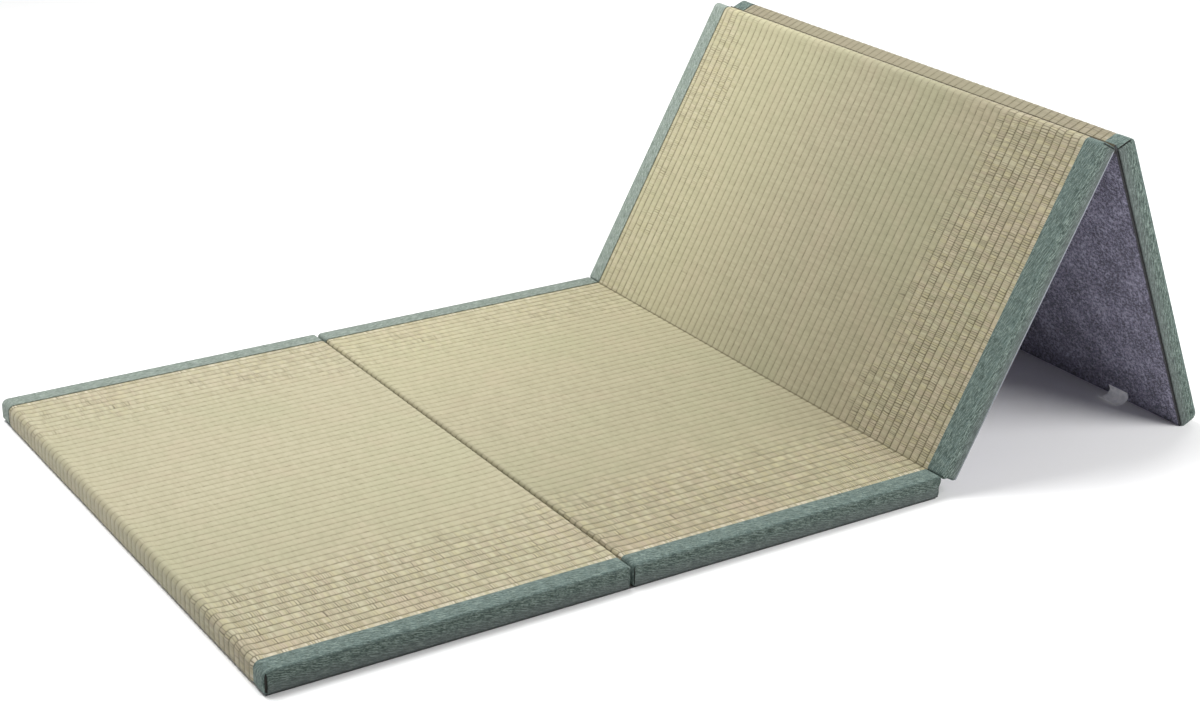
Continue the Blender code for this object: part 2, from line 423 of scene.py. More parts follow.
class Weave:
    """A cloth's material, built one node at a time."""

    def __init__(self, name: str) -> None:
        """Starts a material with the given name."""
        self.material = bpy.data.materials.new(name)
        self.material.use_nodes = True
        self.nodes = self.material.node_tree.nodes
        self.links = self.material.node_tree.links
        self.shader = self.nodes["Principled BSDF"]
        self.colour: Socket | None = None

    def feed(self, socket: Socket, value: Value | Colour) -> None:
        """Sets a socket to a number or colour, or links it."""
        if isinstance(value, bpy.types.NodeSocket):
            self.links.new(value, socket)
        else:
            socket.default_value = value

    def feed_all(self, node: bpy.types.Node, values: dict[str, Value | Colour]) -> None:
        """Feeds the inputs of a node by their names."""
        for name, value in values.items():
            self.feed(node.inputs[name], value)

    def flat_place(self) -> tuple[Socket, Socket]:
        """Sockets of the places along and across the cloth, in metres."""
        source = self.nodes.new("ShaderNodeUVMap")
        source.uv_map = CLOTH_UV
        parts = self.nodes.new("ShaderNodeSeparateXYZ")
        self.links.new(source.outputs["UV"], parts.inputs[0])
        return parts.outputs[0], parts.outputs[1]

    def calc(
        self, operation: str, first: Value, second: Value = 0.0, third: Value = 0.0
    ) -> Socket:
        """One step of arithmetic, by the name of the math node's operation."""
        node = self.nodes.new("ShaderNodeMath")
        node.operation = operation
        for socket, value in zip(node.inputs, (first, second, third)):
            self.feed(socket, value)
        return node.outputs[0]

    def times(self, first: Value, second: Value) -> Socket:
        """The product of two values."""
        return self.calc("MULTIPLY", first, second)

    def linear(self, value: Value, factor: Value, offset: Value) -> Socket:
        """A value times a factor, plus an offset."""
        return self.calc("MULTIPLY_ADD", value, factor, offset)

    def minus(self, first: Value, second: Value) -> Socket:
        """The first value less the second."""
        return self.calc("SUBTRACT", first, second)

    def swing(self, drawn: Socket, factor: Value, offset: Value) -> Socket:
        """How far a drawn value is from 0.5, times a factor, plus an offset."""
        return self.linear(self.minus(drawn, 0.5), factor, offset)

    def size(self, value: Socket) -> Socket:
        """A value without its sign."""
        return self.calc("ABSOLUTE", value)

    def cells(self, value: Socket) -> tuple[Socket, Socket]:
        """The whole number of a value's cell, and the place in the cell from 0 to 1."""
        whole = self.calc("FLOOR", value)
        return whole, self.minus(value, whole)

    def fold(self, inside: Socket) -> Socket:
        """How far a place in a cell is from the nearer end of the cell."""
        return self.calc("PINGPONG", inside, 0.5)

    def wave(self, place: Socket, length: float) -> Socket:
        """A sine wave of the given length."""
        return self.calc("SINE", self.times(place, 2 * math.pi / length))

    def point(self, x: Value, y: Value = 0.0, z: Value = 0.0) -> Socket:
        """Joins three values into a vector."""
        node = self.nodes.new("ShaderNodeCombineXYZ")
        for socket, value in zip(node.inputs, (x, y, z)):
            self.feed(socket, value)
        return node.outputs[0]

    def step(
        self, value: Socket, low: float, high: float, start: float = 0.0, end: float = 1.0
    ) -> Socket:
        """A smooth step between two numbers.

        Args:
            value: What is read.
            low: Where the step starts.
            high: Where it ends.
            start: The result up to the start.
            end: The result from the end on.

        Returns:
            The result's socket.
        """
        node = self.nodes.new("ShaderNodeMapRange")
        node.interpolation_type = "SMOOTHSTEP"
        ends = {"Value": value, "From Min": low, "From Max": high, "To Min": start, "To Max": end}
        self.feed_all(node, ends)
        return node.outputs[0]

    def noise(
        self, place: Socket, scale: float, detail: float = 2.0, roughness: float = 0.5
    ) -> Socket:
        """Soft noise around 0.5 at a vector."""
        node = self.nodes.new("ShaderNodeTexNoise")
        look = {"Vector": place, "Scale": scale, "Detail": detail, "Roughness": roughness}
        self.feed_all(node, look)
        return node.outputs["Fac"]

    def lot(self, place: Socket) -> Socket:
        """A number from 0 to 1 drawn for each cell of a vector of whole numbers."""
        node = self.nodes.new("ShaderNodeTexWhiteNoise")
        node.noise_dimensions = "3D"
        self.feed(node.inputs["Vector"], place)
        return node.outputs["Value"]

    def mix(self, share: Value, first: Socket | Colour, second: Socket | Colour) -> Socket:
        """Blends two colours, by how much of the second is used."""
        node = self.nodes.new("ShaderNodeMix")
        node.data_type = "RGBA"
        self.feed(node.inputs[0], share)
        self.feed(node.inputs[6], first)
        self.feed(node.inputs[7], second)
        return node.outputs[2]

    def paint(self, share: Value, colour: Colour) -> None:
        """Lays a colour over the cloth's own, by how much of it is used."""
        self.colour = self.mix(share, self.colour, colour)

    def ramp(self, value: Socket, *stops: tuple[float, Colour]) -> Socket:
        """Reads a colour at a value from 0 to 1, from stops of a position and a colour."""
        node = self.nodes.new("ShaderNodeValToRGB")
        self.feed(node.inputs[0], value)
        elements = node.color_ramp.elements
        elements[0].position, elements[0].color = stops[0]
        elements[1].position, elements[1].color = stops[-1]
        for position, colour in stops[1:-1]:
            elements.new(position).color = colour
        return node.outputs[0]

    def finished(
        self, height: Socket, strength: float, values: dict[str, Value | Colour]
    ) -> bpy.types.Material:
        """Joins the cloth's colour and relief to its shader.

        Args:
            height: Height of the relief in metres.
            strength: How much of the relief is used.
            values: The shader's other inputs, by their names.

        Returns:
            The finished material.
        """
        node = self.nodes.new("ShaderNodeBump")
        self.feed_all(node, {"Strength": strength, "Distance": 1.0, "Height": height})
        joined = {"Base Color": self.colour, "Normal": node.outputs[0]}
        self.feed_all(self.shader, joined | values)
        return self.material


def tint(red: int, green: int, blue: int) -> Colour:
    """A colour given in the usual 0 to 255 steps, as the shader wants it."""
    steps = []
    for part in (red, green, blue):
        share = part / 255
        steps.append(share / 12.92 if share <= 0.04045 else ((share + 0.055) / 1.055) ** 2.4)
    return (*steps, 1.0)


@dataclass(frozen=True)
class RushFinish:
    """Dried rush stems woven over sunken threads into flat ribs."""

    rib_pitch: float = 0.015
    bar: float = 0.0036
    stem: float = 0.0012
    last_groove: float = 0.4275
    inner_edge: float = 0.4375
    # How much painted shade darkens the straw overall and towards the near side; used on panels 2
    # and 3.
    tent_shade: float = 0.0
    # How much painted shade darkens the low wrapped end; more on panel 4, whose low end is at the
    # apex.
    end_shade: float = 0.16
    crease: float = 0.0
    shade: Colour = tint(147, 141, 115)
    straw: Colour = tint(166, 160, 133)
    pale: Colour = tint(183, 177, 151)
    green: Colour = tint(154, 157, 124)
    pink: Colour = tint(177, 158, 138)
    gold: Colour = tint(178, 168, 127)
    # Painted shade colour for the low wrapped end.
    end_shade_tint: Colour = tint(112, 104, 86)
    cream: Colour = tint(198, 190, 168)
    # Painted light laid on the far part of panels 2 and 3.
    far_light: Colour = tint(255, 250, 198)
    groove: Colour = tint(92, 85, 59)
    tick: Colour = tint(90, 81, 60)
    hidden: Colour = tint(30, 28, 23)

    def build(self) -> bpy.types.Material:
        """Makes the material."""
        weave = RushWeave(self)
        weave.paint_straw()
        weave.paint_bars()
        weave.paint_ticks()
        weave.paint_far_light_and_end_shade()
        weave.paint_grooves()
        values = {
            "Roughness": 0.62,
            "Specular IOR Level": 0.30,
            "Sheen Weight": 0.08,
            "Sheen Roughness": 0.5,
        }
        return weave.finished(weave.relief(), 0.9, values)


class RushWeave(Weave):
    """The rush's material while it is built, with what is known of each spot."""

    def __init__(self, look: RushFinish) -> None:
        """Starts the material and finds the rib, bar and stem of a spot."""
        super().__init__("rush_weave")
        self.look = look
        self.along, self.over = self.flat_place()
        self.spot = self.point(self.along, self.over)
        self.aside = self.size(self.over)
        near = self.step(self.over, -0.16, -0.39)
        far = self.times(self.step(self.over, 0.20, 0.41), 0.44)
        self.outwards = self.calc("MAXIMUM", near, far)
        busy = self.times(self.noise(self.spot, 9.0, 3.0, 0.6), 0.55)
        self.busy = self.step(self.linear(self.outwards, 0.60, busy), 0.30, 0.70)

        waver = self.point(self.along, self.times(self.over, 40.0))
        wavy = self.swing(self.noise(waver, 55.0, 2.0, 0.6), 0.0034, self.over)
        self.rib, inside = self.cells(self.linear(wavy, 1 / look.rib_pitch, 0.5))
        self.from_groove = self.times(self.fold(inside), look.rib_pitch)
        parity = self.calc("FLOORED_MODULO", self.rib, 2.0)

        self.sway = self.noise(self.point(self.along, self.times(self.over, 0.35)), 60.0, 1.0)
        slid = self.linear(self.lot(self.point(self.rib, 31.0)), 0.05, self.along)
        slid = self.linear(self.sway, 0.006, slid)
        own = self.noise(self.point(self.along, self.times(self.rib, 3.7), 17.0), 75.0, 1.0)
        slid = self.linear(own, 0.008, slid)
        self.bar, self.in_bar = self.cells(self.times(slid, 1 / look.bar))
        self.stem, self.in_stem = self.cells(self.linear(slid, 1 / look.stem, parity))
        self.bar_tone = self.lot(self.point(self.bar, self.rib, 5.0))
        self.stem_tone = self.lot(self.point(self.stem, self.rib, 3.0))

        self.edge = self.step(self.aside, look.last_groove + 0.0006, look.last_groove + 0.0022)
        if look.crease:
            quiet = self.step(self.along, look.crease, look.crease + 0.02, 1.0, 0.3)
            self.edge = self.times(self.edge, quiet)
        # Painted shade on the low wrapped end, full over the first 26 mm along the rush and gone
        # by 36 mm; its grooves are painted darker there too.
        self.wrapped = self.step(self.along, 0.036, 0.026, 0.0, look.end_shade)

    def paint_straw(self) -> None:
        """Paints the straw by bar and stem, with painted shade towards the near side, and with
        green, rosy and warm patches.
        """
        look = self.look
        patch = self.noise(self.spot, 26.0, 3.0, 0.6)
        # Painted shade: the straw darkens towards the near side, and more on panels 2 and 3.
        near_shade = self.step(self.over, 0.10, -0.42)
        tone = self.linear(patch, 0.14, 0.47 - look.tent_shade)
        tone = self.linear(near_shade, -0.14 - look.tent_shade, tone)
        tone = self.linear(self.busy, 0.16, tone)
        tone = self.swing(self.bar_tone, self.linear(self.busy, 0.26, 0.11), tone)
        tone = self.swing(self.stem_tone, 0.10, tone)
        self.colour = self.ramp(tone, (0.22, look.shade), (0.50, look.straw), (0.84, look.pale))

        greener = self.step(self.noise(self.spot, 3.2, 2.0), 0.40, 0.68, 0.0, 0.25)
        self.paint(greener, look.green)
        rosier = self.noise(self.point(self.along, self.over, 2.0), 15.0, 3.0, 0.7)
        self.paint(self.step(rosier, 0.47, 0.66, 0.0, 0.12), look.pink)
        warm = self.noise(self.point(self.along, self.over, 6.0), 8.0, 3.0, 0.65)
        warm = self.step(warm, 0.46, 0.70)
        warm = self.times(warm, self.linear(self.outwards, 0.34, 0.10))
        redder = self.times(self.step(self.bar_tone, 0.15, 0.75, 0.35, 1.0), warm)
        self.paint(redder, look.pink)

    def paint_bars(self) -> None:
        """Paints single bars in other hues, and paler ones beyond the last groove."""
        hue = self.lot(self.point(self.bar, self.rib, 12.0))
        rosy = self.times(self.step(hue, 0.55, 0.95, 0.0, 0.26), self.busy)
        self.paint(rosy, self.look.pink)
        golden = self.times(self.step(hue, 0.40, 0.05, 0.0, 0.34), self.busy)
        self.paint(golden, self.look.gold)
        creamy = self.times(self.edge, self.step(hue, 0.4, 0.9, 0.0, 0.75))
        self.paint(creamy, self.look.cream)

    def paint_ticks(self) -> None:
        """Paints dark ticks between bars, some over several ribs, and lines between stems."""
        look = self.look
        keen = self.lot(self.point(self.bar, self.rib, 8.0))
        few = self.linear(self.calc("MAXIMUM", self.busy, self.edge), 0.62, keen)
        tick = self.step(self.fold(self.in_bar), 0.07, 0.21, 1.0, 0.0)
        tick = self.times(tick, self.step(few, 0.86, 1.30, 0.0, 0.88))
        self.paint(tick, look.tick)
        long_bars = self.linear(self.sway, 1.6, self.times(self.along, 1 / look.bar))
        long_bar, in_long = self.cells(long_bars)
        block = self.calc("FLOOR", self.times(self.over, 1 / (5 * look.rib_pitch)))
        chosen = self.lot(self.point(long_bar, block, 21.0))
        chosen = self.step(chosen, 0.82, 0.94, 0.0, 0.78)
        long_tick = self.times(self.step(self.fold(in_long), 0.04, 0.17, 1.0, 0.0), chosen)
        self.paint(self.times(long_tick, self.busy), look.groove)
        self.paint(self.step(self.fold(self.in_stem), 0.02, 0.20, 0.16, 0.0), look.groove)

    def paint_far_light_and_end_shade(self) -> None:
        """Lays painted light on the far part of panels 2 and 3, and painted shade on the wrapped
        ends.
        """
        look = self.look
        if look.crease:
            low, high = look.crease - 0.02, look.crease + 0.02
            standing = self.step(self.along, low, high, 0.45, 1.0)
            # Painted light: paler towards the far side, more on the standing panel 3 than on panel
            # 2.
            pale_and_lit = self.times(self.step(self.over, -0.03, 0.33, 0.0, 0.125), standing)
            self.paint(pale_and_lit, look.far_light)
        self.paint(self.wrapped, look.end_shade_tint)

    def paint_grooves(self) -> None:
        """Paints the grooves in the warp's darker colour with painted shade, painted shade along
        the crease, and the painted shade beside and under the bindings.
        """
        look = self.look
        drawn = self.noise(self.point(self.along, self.rib, 2.0), 95.0, 2.0, 0.6)
        drawn = self.linear(self.outwards, 0.22, drawn)
        depth = self.step(drawn, 0.36, 0.74, 0.08, 0.74)
        depth = self.linear(self.wrapped, 0.45, depth)
        # The groove is partly the sunken warp's own darker colour and partly painted shade,
        # deepest in the groove and fading up each rib.
        sunk = self.step(self.from_groove, 0.0002, 0.0017, 1.0, 0.0)
        self.paint(self.times(sunk, depth), look.groove)
        self.paint(self.step(self.from_groove, 0.0010, 0.0060, 0.08, 0.0), look.groove)
        if look.crease:
            # Painted shade: a dark line along the crease between panels 2 and 3.
            from_crease = self.size(self.minus(self.along, look.crease))
            self.paint(self.step(from_crease, 0.0008, 0.0026, 0.80, 0.0), look.groove)
        inner = look.inner_edge
        self.paint(self.step(self.over, inner - 0.0026, inner - 0.0010, 0.0, 0.6), look.groove)
        self.paint(self.step(self.aside, inner + 0.0014, inner + 0.0030), look.hidden)

    def relief(self) -> Socket:
        """Height of stems, bars and fibres in metres, level in the grooves."""
        crown = self.calc("POWER", self.fold(self.in_stem), 0.5)
        rise = self.calc("POWER", self.fold(self.in_bar), 0.35)
        lift = self.linear(self.stem_tone, 0.00005, self.times(crown, 0.00012))
        high = self.linear(self.bar_tone, 0.00022, self.times(rise, 0.00022))
        lift = self.linear(high, self.linear(self.busy, 0.9, 0.1), lift)
        fibre = self.noise(self.point(self.along, self.times(self.over, 0.12)), 2600.0, 2.0)
        lift = self.linear(fibre, 0.00005, lift)
        return self.times(lift, self.step(self.from_groove, 0.0002, 0.0016))


@dataclass(frozen=True)
class BindingFinish:
    """Grey green cloth with long pale threads that run a little aslant."""

    rim: Colour
    ground: Colour = tint(74, 89, 83)
    deep: Colour = tint(44, 55, 50)
    light: Colour = tint(132, 147, 139)
    glint: Colour = tint(186, 197, 189)
    # Paler colour for random streaks and for painted light on the top strip.
    pale_and_lit: Colour = tint(102, 120, 117)
    # Painted shade tone for the lower part of the side.
    side_shade: Colour = tint(86, 90, 90)
    shaded: float = 0.0
    thread: float = 0.0011
    side_from: float = 0.0315
    hem_from: float = 0.0592
    hem_ease: float = 0.0010

    def build(self) -> bpy.types.Material:
        """Makes the material."""
        weave = Weave("binding_cloth")
        along, over = weave.flat_place()
        slant = weave.linear(over, 0.22, weave.times(along, 0.975))
        steep = weave.linear(along, -0.22, weave.times(over, 0.975))
        side = weave.step(over, self.side_from, self.side_from + 0.004)
        yarns = weave.noise(weave.point(weave.times(slant, 0.12), steep), 640.0, 1.0, 0.5)
        short = weave.point(weave.times(slant, 0.28), steep, 4.0)
        short = weave.noise(short, 980.0, 1.0, 0.5)
        strokes = weave.linear(short, 0.45, weave.times(yarns, 0.55))
        cloudy = weave.noise(weave.point(along, over, 3.0), 45.0, 3.0, 0.6)
        streak = weave.noise(weave.point(weave.times(steep, 0.25), slant, 8.0), 120.0, 2.0)
        warp = weave.wave(slant, self.thread)
        weft = weave.wave(steep, self.thread)
        cross = weave.times(warp, weft)

        stops = ((0.38, self.deep), (0.49, self.ground), (0.60, self.light))
        weave.colour = weave.ramp(strokes, *stops)
        # Paler streaks at random, plus painted light over the whole top strip and none down the
        # side.
        streaks_and_top_light = weave.linear(weave.step(streak, 0.40, 0.64), 0.22, 0.20)
        streaks_and_top_light = weave.times(streaks_and_top_light, weave.minus(1.0, side))
        weave.paint(streaks_and_top_light, self.pale_and_lit)
        weave.paint(weave.step(cloudy, 0.40, 0.70, 0.0, 0.14), self.deep)
        # Painted highlights: tiny pale glints over the cloth.
        spots = weave.noise(weave.point(weave.times(slant, 0.5), steep, 9.0), 1100.0, 1.0)
        weave.paint(weave.step(spots, 0.66, 0.76, 0.0, 0.55), self.glint)
        weave.paint(weave.step(cross, -1.0, 0.1, 0.28, 0.0), self.deep)
        if self.shaded:
            weave.paint(weave.step(over, 0.0290, 0.0322, 0.0, self.shaded), self.deep)
        # Painted shade: a greyer tone over the lower part of the side.
        weave.paint(weave.step(over, 0.038, 0.058, 0.0, 0.55), self.side_shade)
        # The hem at the side's foot takes the rim colour: a painted highlight with lit_rim, a
        # painted line of shade with dim_rim.
        hem = weave.step(over, self.hem_from, self.hem_from + self.hem_ease, 0.0, 0.7)
        weave.paint(hem, self.rim)
        lift = weave.linear(cross, 0.00006, weave.times(strokes, 0.0012))
        return weave.finished(
            lift,
            0.9,
            {
                "Roughness": 0.8,
                "Specular IOR Level": 0.25,
                "Sheen Weight": 0.20,
                "Sheen Roughness": 0.4,
                "Sheen Tint": tint(200, 215, 210),
            },
        )


@dataclass(frozen=True)
class FeltFinish:
    """Needled felt of mixed dark and pale fibres, with painted shade dark along the hinge."""

    hinge: float
    rim: float = 0.4655
    ground: Colour = tint(98, 95, 118)
    dark: Colour = tint(48, 46, 64)
    light: Colour = tint(172, 169, 192)
    hinge_shade: Colour = tint(70, 62, 42)
    # Painted shade colour for the felt's edge beside the bindings.
    edge: Colour = tint(24, 24, 28)

    def build(self) -> bpy.types.Material:
        """Makes the material."""
        weave = Weave("felt_fibres")
        along, over = weave.flat_place()
        spot = weave.point(along, over)
        cloudy = weave.noise(spot, 22.0, 3.0, 0.6)
        clump = weave.noise(spot, 150.0, 4.0, 0.75)
        tuft = weave.noise(weave.point(over, along, 4.0), 330.0, 2.0, 0.65)
        strand = weave.noise(weave.point(weave.times(along, 0.25), over, 7.0), 1200.0, 2.0)
        tone = weave.swing(cloudy, 0.35, clump)
        weave.colour = weave.ramp(tone, (0.38, self.dark), (0.50, self.ground), (0.64, self.light))
        weave.paint(weave.step(tuft, 0.46, 0.36, 0.0, 0.75), self.dark)
        weave.paint(weave.step(tuft, 0.54, 0.62, 0.0, 0.65), self.light)
        from_hinge = weave.size(weave.minus(along, self.hinge))
        # Painted shade: dark along the hinge where the felt folds.
        weave.paint(weave.step(from_hinge, 0.0040, 0.0150, 1.0, 0.0), self.hinge_shade)
        aside = weave.size(over)
        # Painted shade: near black along the felt's outer edge beside each binding.
        weave.paint(weave.step(aside, self.rim - 0.0034, self.rim - 0.0016), self.edge)
        lift = weave.linear(strand, 0.0003, weave.times(tuft, 0.0008))
        return weave.finished(
            lift,
            0.9,
            {
                "Roughness": 0.95,
                "Specular IOR Level": 0.12,
                "Sheen Weight": 0.35,
                "Sheen Roughness": 0.6,
            },
        )


@dataclass(frozen=True)
class LabelFinish:
    """Thin blank satin ribbon, with a faint painted glow."""

    ribbon: Colour = tint(250, 250, 252)
    shade: Colour = tint(222, 224, 228)
    thread: float = 0.0008
    # Painted light: the ribbon glows faintly, though it is no lamp.
    painted_glow: float = 0.05

    def build(self) -> bpy.types.Material:
        """Makes the material."""
        weave = Weave("label_ribbon")
        along, over = weave.flat_place()
        cloudy = weave.noise(weave.point(along, over), 90.0, 2.0)
        rows = weave.wave(along, self.thread)
        weave.colour = weave.mix(weave.step(cloudy, 0.35, 0.65), self.ribbon, self.shade)
        return weave.finished(
            weave.times(rows, 0.00003),
            1.0,
            {
                "Roughness": 0.42,
                "Sheen Weight": 0.3,
                "Emission Color": self.ribbon,
                "Emission Strength": self.painted_glow,
            },
        )


# Rush facings


@dataclass(frozen=True)
class RibProfile:
    """Ribs of the rush across the mat, with a groove between each two."""

    pitch: float = 0.015
    last_groove: float = 0.4275
    depth: float = 0.0006
    round_depth: float = 0.0005
    shoulders: tuple[float, ...] = (0.0012, 0.0034)
    groove_reach: float = 0.0012
    turn_in: float = 0.001

    def stations(self, inner_edge: float, outer: float) -> np.ndarray:
        """Places across the mat where the rush has a line of points.

        Args:
            inner_edge: Inner edge of the bindings.
            outer: Side of the rush under them.

        Returns:
            The places in rising order.
        """
        turned = outer - self.turn_in
        places = [-outer, -turned, -inner_edge, inner_edge, turned, outer]
        count = round(2 * self.last_groove / self.pitch)
        for number in range(count + 1):
            groove = number * self.pitch - self.last_groove
            places.append(groove)
            for shoulder in self.shoulders:
                places += [groove - shoulder, groove + shoulder]
            if number < count:
                places.append(groove + self.pitch / 2)
        return np.array(sorted(places))

    def sink(self, y: np.ndarray) -> np.ndarray:
        """Depth of the rush below its ribs, at places across the mat."""
        steps = np.round((y + self.last_groove) / self.pitch)
        last = round(2 * self.last_groove / self.pitch)
        groove = np.clip(steps, 0, last) * self.pitch - self.last_groove
        away = np.clip(np.abs(y - groove) / (self.pitch / 2), 0, 1)
        narrow = self.depth * np.exp(-(((y - groove) / self.groove_reach) ** 2))
        return narrow + self.round_depth * (1 - away) ** 2

    def crown(self, y: np.ndarray) -> np.ndarray:
        """How far each place is up its rib, from 0 in a groove to 1 on top."""
        return 1 - self.sink(y) / (self.depth + self.round_depth)

    def number(self, y: np.ndarray) -> np.ndarray:
        """Number of the rib at each place, counted from the middle of the mat."""
        return np.floor(y / self.pitch + 0.5).astype(int)


@dataclass
class RushFacing:
    """The padded panels in their woven rush, in the shape of the solids that they replace."""

    sizes: MatSizes
    ribs: RibProfile = RibProfile()
    step: float = 0.0028
    joined_step: float = 0.0048
    stem_lift: float = 0.00012
    own_share: float = 0.6
    end_calm: float = 0.25
    sag: float = 0.0003
    sag_periods: tuple[float, float] = (0.09, 0.07)
    padding: float = 0.0005
    end_padding: float = 0.0017
    border_cut: float = 0.0045
    crease_ease: float = 0.0016
    calm: float = 0.45
    calm_reach: float = 0.16
    calm_ease: float = 0.24
    margin: float = 0.0005
    under_binding: float = -0.0001
    side_inset: float = -0.001
    headroom: float = 0.0002
    row_reach: float = 0.0013
    slack: float = 1e-5
    fill: float = 0.95

    def wrapped(self, number: int) -> tuple[np.ndarray, np.ndarray]:
        """The rush round a panel's low end, foot to face, and round its far end, face to foot."""
        sizes = self.sizes
        low, far = (
            sizes.wrapped_end(sizes.skin, *radii, self.step) for radii in sizes.end_radii(number)
        )
        return low, sizes.from_far_end(far)

    def face(self, start: float, end: float, step: float) -> np.ndarray:
        """Points on a panel's face between two places along it."""
        top = self.sizes.thickness - self.sizes.skin
        return straight((start, top), (end, top), step)

    def relief(self, path: SectionPath, y: np.ndarray, ends: np.ndarray, seed: int) -> np.ndarray:
        """Height of the rush over its plain face.

        Args:
            path: The path that the rush follows.
            y: Places across the mat.
            ends: How much each path point belongs to a wrapped end, from 0 to 1.
            seed: Number of the random lines.

        Returns:
            Heights shaped (places across, path points).
        """
        draw = np.random.default_rng(seed)
        stems = draw.normal(0, self.stem_lift, (2, len(path.run)))
        own = draw.normal(0, self.stem_lift * self.own_share, (len(y), len(path.run)))
        number, aside = self.ribs.number(y), np.abs(y)
        eased = np.clip((aside - self.calm_reach) / self.calm_ease, 0, 1)
        lively = self.calm + (1 - self.calm) * eased
        heights = stems[number % 2] + own[number % len(y)]
        heights *= (self.ribs.crown(y) * lively)[:, None]
        heights -= self.ribs.sink(y)[:, None]
        heights *= 1 - self.end_calm * ends[None, :]
        along, over = self.sag_periods
        soft = wander(path.run, along, seed + 1)[None, :] + wander(y, over, seed + 2)[:, None]
        heights += self.sag / 2 * soft
        heights += self.padding + (self.end_padding - self.padding) * ends[None, :]
        sizes = self.sizes
        heights[aside > sizes.inner_edge - self.margin] = self.under_binding
        heights[aside > sizes.half_width - sizes.skin - self.margin] = self.side_inset
        return np.minimum(heights, self.end_padding + self.headroom)

    def end_shares(self, low: int, face: int, far: int) -> np.ndarray:
        """How much each point of a path belongs to a wrapped end.

        Args:
            low: How many points the low end has.
            face: How many lie on the face.
            far: How many the far end has.

        Returns:
            Shares from 0 to 1, eased over the first points of the face.
        """
        ease = (0.9, 0.65, 0.35, 0.1)
        level = np.zeros(face - 2 * len(ease))
        return np.concatenate([np.ones(low), ease, level, ease[::-1], np.ones(far)])

    def tube(
        self, name: str, outer: np.ndarray, under: np.ndarray, ends: np.ndarray, seed: int
    ) -> bmesh.types.BMesh:
        """Wraps a closed section across the mat, its two ends left open.

        Args:
            name: Name of the mesh.
            outer: Visible (x, z) points, from foot to foot.
            under: Hidden points that close the section.
            ends: How much each visible point belongs to a wrapped end.
            seed: Number of the random lines.

        Returns:
            The tube, its points in rows across the mat.
        """
        path = SectionPath.through(outer)
        y = self.ribs.stations(self.sizes.inner_edge, self.sizes.half_width - self.sizes.skin)
        rows = path.raised(self.relief(path, y, ends, seed))
        rows[..., 1] = np.maximum(rows[..., 1], 0)
        hidden = np.broadcast_to(under, (len(y), *under.shape))
        section = np.concatenate([rows, hidden, rows[:, :1]], axis=1)
        closing = np.concatenate([outer[-1:], under, outer[:1]])
        steps = np.linalg.norm(np.diff(closing, axis=0), axis=1)
        run = np.concatenate([path.run, path.run[-1] + np.cumsum(steps)])
        mesh = lay_across(name, section, run, y)
        made = bmesh.new()
        made.from_mesh(mesh)
        bpy.data.meshes.remove(mesh)
        bmesh.ops.remove_doubles(made, verts=made.verts, dist=SAME_PLACE)
        return made

    def close(self, tube: bmesh.types.BMesh, name: str) -> bpy.types.Mesh:
        """Fills what is open and turns all faces outwards."""
        rims = [edge for edge in tube.edges if edge.is_boundary]
        bmesh.ops.holes_fill(tube, edges=rims, sides=0)
        bmesh.ops.recalc_face_normals(tube, faces=tube.faces)
        mesh = bpy.data.meshes.new(name)
        tube.to_mesh(mesh)
        tube.free()
        return mesh

    def place(self, name: str, mesh: bpy.types.Mesh, finish: bpy.types.Material) -> None:
        """Puts a facing in the scene."""
        made = Piece(f"{name}_woven", Slot.RUSH, (name,), mesh, finish).place()

    def build_single(self, number: int, finish: bpy.types.Material) -> None:
        """Builds the panel with this number, whose two ends are wrapped in rush."""
        sizes = self.sizes
        low, far = self.wrapped(number)
        face = self.face(low[-1][0], far[0][0], self.step)
        outer = np.concatenate([low, face, far])
        ends = self.end_shares(len(low), len(face), len(far))
        under = np.array([(far[-1][0], sizes.seam), (low[0][0], sizes.seam)])
        panel = sizes.frames()[number]
        name = f"rush_panel_{number}"
        tube = self.tube(name, panel.place(outer), panel.place(under), ends, 10 * number)
        self.place(name, self.close(tube, name), finish)

    def hinged(self) -> np.ndarray:
        """The rush's hidden end beside the crease, from the underside up to the web."""
        sizes = self.sizes
        radius = sizes.felt_turn - sizes.seam
        centre = (sizes.clear + sizes.felt_turn, sizes.felt_turn)
        cut = np.array([(self.border_cut, sizes.seam)])
        top = np.array([(centre[0] - radius, sizes.thickness - sizes.skin - sizes.web)])
        return np.concatenate([cut, arc(centre, radius, 270, 180, 3), top])

    def crease(self, depth: float) -> np.ndarray:
        """The (x, z) point of the valley between panels 2 and 3, at a depth under their faces."""
        sizes = self.sizes
        x = sizes.crease_x + depth * math.tan(sizes.lean / 2) - sizes.middle
        return np.array([(x, sizes.thickness - depth)])

    def crease_run(self) -> float:
        """How far along the joined rush its crease lies, from the low end of panel 2."""
        low, _ = self.wrapped(2)
        return float(SectionPath.through(low).run[-1] + self.sizes.panel_length - low[-1][0])

